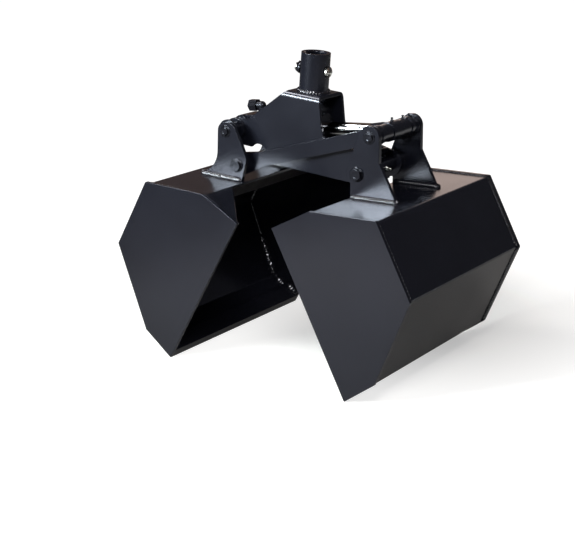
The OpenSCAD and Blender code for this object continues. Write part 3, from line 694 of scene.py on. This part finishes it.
@dataclass(frozen=True)
class Jaw:
    """One jaw's plates in the row frame, and the beads that join them.

    All sizes are in millimetres. The outline runs from the front of the top
    plate round the back to the tip, as X and Z of the end plates' edge. The
    shell's outside lies a step inside it and its inside a skin. The sizes
    from lip_room on say where beads start, stop and lap.
    """

    side: str
    body: Body
    outline: Tuple[Span, ...]
    ear_start: Span
    ear_end: Span
    seed: int
    end_in: float = 267.0
    ear_out: float = 102.0
    ear_in: float = 92.0
    shell_step: float = 4.0
    shell_skin: float = 10.0
    edge_width: float = 54.0
    edge_bar: float = 12.0
    lip_room: float = 45.0
    seam_gap: float = 2.0
    tip_gap: float = 6.0
    over_lap: float = 4.0
    under_lap: float = 8.0
    thin_share: float = 0.45
    ear_lap: float = 4.0
    ear_over: float = 3.0

    def normals(self) -> np.ndarray:
        """Outward normals of the plates: each run turned away from the middle.

        Returns:
            One unit X and Z for each plate.
        """
        path = np.array(self.outline)
        runs = np.diff(path, axis=0)
        turned = np.stack([-runs[:, 1], runs[:, 0]], axis=1)
        turned /= np.linalg.norm(turned, axis=1)[:, None]
        out = (path[:-1] + path[1:]) / 2.0 - path.mean(axis=0)
        return turned * np.sign((turned * out).sum(axis=1))[:, None]

    def inset(self, step: float) -> np.ndarray:
        """Outline moved in by a step along the bisectors of its corners.

        Args:
            step: Distance in millimetres.

        Returns:
            One row of X and Z for each corner.
        """
        path, n = np.array(self.outline), self.normals()
        before = np.vstack([n[:1], n])
        after = np.vstack([n, n[-1:]])
        middle = before + after
        middle /= np.linalg.norm(middle, axis=1)[:, None]
        return path - step * middle / (middle * before).sum(axis=1)[:, None]

    @staticmethod
    def place(flat: np.ndarray, y: float) -> np.ndarray:
        """Put X and Z in millimetres at a station Y, in metres."""
        return np.array([flat[0], y, flat[1]]) * MM

    def inner_seams(self, mat: bpy.types.Material) -> None:
        """Weld the shell to the end plates inside the jaw.

        A thin bead follows the top, the upper back and the first share of
        the lower back. From there it is thick, and along the floor heavy and
        flat. A second heavy bead follows the top of the edge bar to the tip,
        and the floor's bead runs on a little way under it.

        Args:
            mat: Finish of the beads.
        """
        thick = WeldBead(9.0, 9.0, 13.0, 0.30, self.seed)
        thin = WeldBead(5.0, 5.0, 9.0, 0.2, self.seed + 5)
        heavy = WeldBead(14.0, 13.0, 13.0, 0.3, self.seed + 9, flat=0.6, crest=0.09)
        normals = self.normals()
        floor, back = len(normals) - 1, len(normals) - 2
        skin = self.inset(self.shell_skin)
        bar_tip = self.inset(self.shell_skin + self.edge_bar)[-1]
        gathered = Surfaces()
        for sign in (-1.0, 1.0):
            y = sign * self.end_in
            across = np.array([0.0, -sign, 0.0])
            for i, normal in enumerate(normals):
                inward = -np.array([normal[0], 0.0, normal[1]])
                a, b = skin[i], skin[i + 1]
                run = (b - a) / np.linalg.norm(b - a)
                laid: List[Tuple[WeldBead, np.ndarray, np.ndarray]] = []
                if i == 0:
                    a = a + self.lip_room * run
                if i == floor:
                    laid.append((heavy, bar_tip - (self.edge_width + self.over_lap) * run,
                                 bar_tip - self.tip_gap * run))
                    b = b - (self.edge_width - self.under_lap) * run
                if i == back:
                    middle = a + self.thin_share * (b - a)
                    laid.append((thin, a, middle))
                    a = middle
                laid.append(({floor: heavy, back: thick}.get(i, thin), a, b))
                for bead, start, end in laid:
                    gathered.add_loops(bead.straight(
                        self.place(start, y), self.place(end, y), inward, across,
                    ))
        gathered.build(f"{self.side}_inner_seams", mat, self.body, Slot.WELD)

    def outer_seams(self, mat: bpy.types.Material) -> None:
        """Weld the shell to the end plates outside, in the step between them.

        Args:
            mat: Finish of the beads.
        """
        bead = WeldBead(3.8, 6.5, 8.0, 0.12, self.seed + 3)
        edge = self.inset(self.shell_step)
        gathered = Surfaces()
        for sign in (-1.0, 1.0):
            y = sign * self.end_in
            across = np.array([0.0, -sign, 0.0])
            for i, normal in enumerate(self.normals()):
                outward = np.array([normal[0], 0.0, normal[1]])
                a, b = edge[i], edge[i + 1]
                gap = self.seam_gap * (b - a) / np.linalg.norm(b - a)
                gathered.add_loops(bead.straight(
                    self.place(a + gap, y), self.place(b - gap, y), outward, across,
                ))
        gathered.build(f"{self.side}_outer_seams", mat, self.body, Slot.WELD)

    def ear_beads(self, mat: bpy.types.Material) -> None:
        """Weld both ears to the top plate, along their faces and round the end.

        Args:
            mat: Finish of the beads.
        """
        bead = WeldBead(8.5, 6.5, 6.5, 0.12, self.seed + 7)
        normal = self.normals()[0]
        up = np.array([normal[0], 0.0, normal[1]])
        start, end = np.array(self.ear_start), np.array(self.ear_end)
        run = (end - start) / np.linalg.norm(end - start)
        onward = np.array([run[0], 0.0, run[1]])
        gathered = Surfaces()
        for sign in (-1.0, 1.0):
            for y, out in ((self.ear_out, 1.0), (self.ear_in, -1.0)):
                gathered.add_loops(bead.straight(
                    self.place(start, sign * y), self.place(end + self.ear_over * run, sign * y),
                    up, np.array([0.0, sign * out, 0.0]),
                ))
            gathered.add_loops(bead.straight(
                self.place(end, sign * (self.ear_in - self.ear_lap)),
                self.place(end, sign * (self.ear_out + self.ear_lap)), up, onward,
            ))
        piece = gathered.build(f"{self.side}_ear_beads", mat, self.body, Slot.WELD)
        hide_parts(f"{self.side}_ear_welds")

    def build(self, mat: bpy.types.Material) -> None:
        """Lay all beads of the jaw.

        Args:
            mat: Finish of the beads.
        """
        self.inner_seams(mat)
        self.outer_seams(mat)
        self.ear_beads(mat)


@dataclass(frozen=True)
class Collar:
    """The weld round the foot of the rotator collar, in millimetres and degrees."""

    foot: Span = (-18.71, 648.38)
    tilt: float = 4.1968
    radius: float = 35.5
    seed: int = 5
    count: int = 241

    def build(self, mat: bpy.types.Material) -> None:
        """Lay the bead on a circle: foot + r (cos a e1 + sin a e2).

        Args:
            mat: Finish of the bead.
        """
        turn = math.radians(self.tilt)
        up = np.array([math.sin(turn), 0.0, math.cos(turn)])
        e1, e2 = np.array([math.cos(turn), 0.0, -math.sin(turn)]), np.array([0.0, 1.0, 0.0])
        a = np.linspace(0.0, 2.0 * np.pi, self.count)[:, None]
        out = np.cos(a) * e1 + np.sin(a) * e2
        centre = np.array([self.foot[0], 0.0, self.foot[1]]) * MM
        path = centre + self.radius * MM * out
        bead = WeldBead(6.0, 6.0, 6.5, 0.08, self.seed)
        gathered = Surfaces()
        gathered.add_loops(bead.grid(path, np.ones_like(a) * up, out, True), True)
        piece = gathered.build("collar_bead", mat, Body.HEAD, Slot.WELD)
        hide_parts("collar_weld")


@dataclass(frozen=True)
class Lathe:
    """Turned piece about a line; the centre in metres, the rest in millimetres.

    A hex head is chamfered down to the cone share of its flats, and dished
    between the rim and the floor shares of that cone.
    """

    centre: Point
    axis: Point
    cone_share: float = 0.97
    chamfer: float = 30.0
    dish: float = 0.35
    dish_rim: float = 0.55
    dish_floor: float = 0.5
    hex_count: int = 72

    def frame(self) -> Tuple[np.ndarray, np.ndarray, np.ndarray]:
        """Unit vectors across and along the axis.

        Returns:
            Two vectors across the axis and the one along it.
        """
        along = np.array(self.axis) / np.linalg.norm(self.axis)
        helper = np.array([1.0, 0.0, 0.0]) if abs(along[0]) < 0.9 else np.array([0.0, 0.0, 1.0])
        first = np.cross(along, helper)
        first /= np.linalg.norm(first)
        return first, np.cross(along, first), along

    def turned(self, profile: Sequence[Span], count: int) -> np.ndarray:
        """Carry a profile of height and radius round the axis.

        Args:
            profile: Height along the axis and radius, in millimetres.
            count: Points round each ring.

        Returns:
            Loops, as rows, columns and three coordinates.
        """
        e1, e2, e3 = self.frame()
        heights, radii = np.array(profile).T * MM
        a = np.linspace(0.0, 2.0 * np.pi, count, endpoint=False)
        ring = np.cos(a)[:, None] * e1 + np.sin(a)[:, None] * e2
        return (
            np.array(self.centre) + heights[:, None, None] * e3
            + radii[:, None, None] * ring[None]
        )

    def hexagon(
        self, base: float, height: float, flats: float, both: bool = False, turn: float = 0.0,
    ) -> np.ndarray:
        """Hex head whose corners are cut by a 30 degree chamfer cone.

        The radius at angle a is flats / 2 / cos(a'), with a' measured from
        the middle of the nearest flat. The chamfer meets it lower at the
        corners by (radius - cone radius) tan 30 degrees.

        Args:
            base: Height of the seat on the axis, in millimetres.
            height: Height of the head.
            flats: Size across flats.
            both: Whether the seat is chamfered as well, as on a nut.
            turn: Turn of the corners in degrees.

        Returns:
            Loops, as rows, columns and three coordinates.
        """
        e1, e2, e3 = self.frame()
        a = np.linspace(0.0, 2.0 * np.pi, self.hex_count, endpoint=False)
        folded = np.mod(a - math.radians(turn), np.pi / 3.0) - np.pi / 6.0
        radius = flats / 2.0 / np.cos(folded)
        cone = flats / 2.0 * self.cone_share
        drop = (radius - cone) * math.tan(math.radians(self.chamfer))
        ring = np.cos(a)[:, None] * e1 + np.sin(a)[:, None] * e2

        def loop(level: np.ndarray, size: np.ndarray) -> np.ndarray:
            """One loop: centre + level e3 + size (cos a e1 + sin a e2).

            Args:
                level: Height of each point on the axis, in millimetres.
                size: Radius of each point.

            Returns:
                Places in metres, one row each.
            """
            return (
                np.array(self.centre) + (level * MM)[:, None] * e3
                + (size * MM)[:, None] * ring
            )

        even = np.ones_like(a)
        top = base + height
        foot = [loop(base * even, radius)]
        if both:
            foot = [loop(base * even, cone * even), loop(base + drop, radius)]
        head = [
            loop(top - drop, radius), loop(top * even, cone * even),
            loop(top * even, self.dish_rim * cone * even),
            loop((top - self.dish) * even, self.dish_floor * cone * even),
            loop((top - self.dish) * even, POLE * even),
        ]
        return np.stack(foot + head)


@dataclass(frozen=True)
class Pin:
    """Pin or bolt across the ears with its heads, nut and washers.

    All sizes are in millimetres. Thread is how far a bolt stands out of its
    nut, and nought for a pin with a head on both sides.
    """

    name: str
    body: Body
    at: Span
    nodes: Tuple[str, ...]
    flats: float
    head: float
    nut: float
    washer_radius: float
    washer: float
    thread: float = 0.0
    radius: float = 12.5
    ear_out: float = 102.0
    turn: float = 8.0
    nut_turn: float = 20.0
    sunk: float = 0.5
    tip_chamfer: float = 1.5
    bevel_share: float = 0.45
    count: int = 64

    def build(self, mat: bpy.types.Material) -> None:
        """Turn the shank and washers and cut the hex heads.

        Args:
            mat: Finish of the set.
        """
        seat = self.ear_out + self.washer
        line = Lathe((self.at[0] * MM, 0.0, self.at[1] * MM), (0.0, -1.0, 0.0))
        gathered = Surfaces()
        tip = seat + (self.nut + self.thread if self.thread else self.sunk)
        gathered.add_loops(line.turned([
            (seat + self.sunk, POLE), (seat + self.sunk, self.radius),
            (-tip + self.tip_chamfer, self.radius), (-tip, self.radius - self.tip_chamfer),
            (-tip, POLE),
        ], self.count))
        for sign in (1.0, -1.0):
            low, high = sorted((sign * self.ear_out, sign * seat))
            bevel = self.bevel_share * self.washer
            gathered.add_loops(line.turned([
                (low, self.radius), (low, self.washer_radius - bevel),
                (low + bevel, self.washer_radius), (high - bevel, self.washer_radius),
                (high, self.washer_radius - bevel), (high, self.radius),
            ], self.count))
        gathered.add_loops(line.hexagon(seat, self.head, self.flats, False, self.turn))
        other = Lathe(line.centre, (0.0, 1.0, 0.0))
        gathered.add_loops(other.hexagon(
            seat, self.nut, self.flats, self.thread > 0.0, self.nut_turn - self.turn,
        ))
        piece = gathered.build(self.name, mat, self.body, Slot.STEEL, False)
        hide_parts(*self.nodes)


@dataclass(frozen=True)
class Nipple:
    """Grease nipple: hex foot, neck and ball, in millimetres.

    The profile is height and radius from the foot up.
    """

    name: str
    body: Body
    foot: Point
    sunk: float = 2.0
    hex_height: float = 5.0
    flats: float = 7.0
    count: int = 24
    profile: Tuple[Span, ...] = (
        (2.5, POLE), (2.5, 2.2), (4.6, 1.9), (5.2, 2.3), (6.0, 3.1), (7.0, 3.3),
        (8.2, 2.9), (8.8, 2.0), (8.8, 0.9), (8.2, POLE),
    )

    def build(self, mat: bpy.types.Material) -> None:
        """Turn the neck and ball and cut the hex foot.

        Args:
            mat: Finish of the nipple.
        """
        line = Lathe(tuple(v * MM for v in self.foot), (0.0, 0.0, 1.0))
        gathered = Surfaces()
        gathered.add_loops(line.hexagon(-self.sunk, self.hex_height, self.flats, True))
        gathered.add_loops(line.turned(self.profile, self.count))
        gathered.build(self.name, mat, self.body, Slot.STEEL)


def dress_nodes(frame: Dict[str, Any]) -> Dict[Slot, bpy.types.Material]:
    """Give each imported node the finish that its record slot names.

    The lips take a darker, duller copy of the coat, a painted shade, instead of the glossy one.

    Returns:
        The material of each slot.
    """
    finishes = {
        Slot.PAINT: BLACK_PAINT.build(),
        Slot.WELD: WELD_PAINT.build(),
        Slot.STEEL: BLACK_BOLT.build(),
        Slot.ZINC: ZINC.build(),
        Slot.CHROME: CHROME.build(),
    }
    # The darker, duller lip coat is painted shade.
    lip_shade = LIP_PAINTED_SHADE.build()
    slots = {s["node"]: Slot(s["material_slot"]) for s in frame["record"]["subparts"]}
    for name, obj in frame["nodes"].items():
        # Lips take the painted-shade copy of the coat.
        mat = lip_shade if name.endswith("_lip") else finishes[slots[name]]
        for place in obj.material_slots:
            place.material = mat
        if not obj.material_slots:
            obj.data.materials.append(mat)
        LOG.info("%s: %s", name, mat.name)
    return finishes


def fasteners() -> List[Pin]:
    """Bolts of the lower pivots and pins of the upper ones.

    Returns:
        The four sets.
    """
    low = dict(flats=27.0, head=6.5, nut=7.65, washer_radius=17.5, washer=3.0, thread=0.35)
    high = dict(flats=20.0, head=4.0, nut=4.0, washer_radius=15.5, washer=1.5)
    return [
        Pin("right_low_bolt_set", Body.RIGHT, RIGHT_LOW,
            ("right_low_bolt", "right_low_nut"), **low),
        Pin("left_low_bolt_set", Body.LEFT, LEFT_LOW,
            ("left_low_bolt", "left_low_nut"), turn=22.0, **low),
        Pin("right_high_pin_set", Body.RIGHT, RIGHT_HIGH,
            ("right_high_pin", "right_high_clips"), turn=15.0, **high),
        Pin("left_high_pin_set", Body.LEFT, LEFT_HIGH,
            ("left_high_pin", "left_high_clips"), turn=4.0, **high),
    ]


def nipples() -> List[Nipple]:
    """Grease nipples on the tubes round the upper right pin.

    Returns:
        The three nipples, standing on the tubes and on the rod's eye.
    """
    x, z = RIGHT_HIGH
    tube, eye = 21.0, 23.0
    return [
        Nipple("tube_nipple_inner", Body.RIGHT, (x, 50.0, z + tube)),
        Nipple("tube_nipple_outer", Body.RIGHT, (x, 79.0, z + tube)),
        Nipple("rod_eye_nipple", Body.ROD, (x, 0.0, z + eye)),
    ]


def jaws() -> List[Jaw]:
    """The two jaws, with their outlines from the top plate round to the tip.

    Returns:
        The right jaw and the left jaw.
    """
    return [
        Jaw("right", Body.RIGHT,
            ((152.0, 432.17), (324.59, 435.31), (414.45, 265.63), (328.06, 56.94),
             (249.78, -0.36)),
            (152.068, 428.169), (274.048, 430.386), 11),
        Jaw("left", Body.LEFT,
            ((-148.45, 429.94), (-320.94, 436.81), (-414.44, 269.11), (-332.59, 58.61),
             (-255.56, -0.37)),
            (-160.604, 426.425), (-280.509, 431.197), 29),
    ]


def main() -> None:
    """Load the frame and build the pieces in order."""
    logging.basicConfig(level=logging.INFO, format="%(message)s")
    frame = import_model()
    bpy.context.scene.view_settings.view_transform = "Standard"
    Studio().build()
    finishes = dress_nodes(frame)
    for jaw in jaws():
        jaw.build(finishes[Slot.WELD])
    Collar().build(finishes[Slot.WELD])
    for pin in fasteners():
        pin.build(finishes[Slot.STEEL])
    for nipple in nipples():
        nipple.build(finishes[Slot.STEEL])


if __name__ == "__main__":
    main()
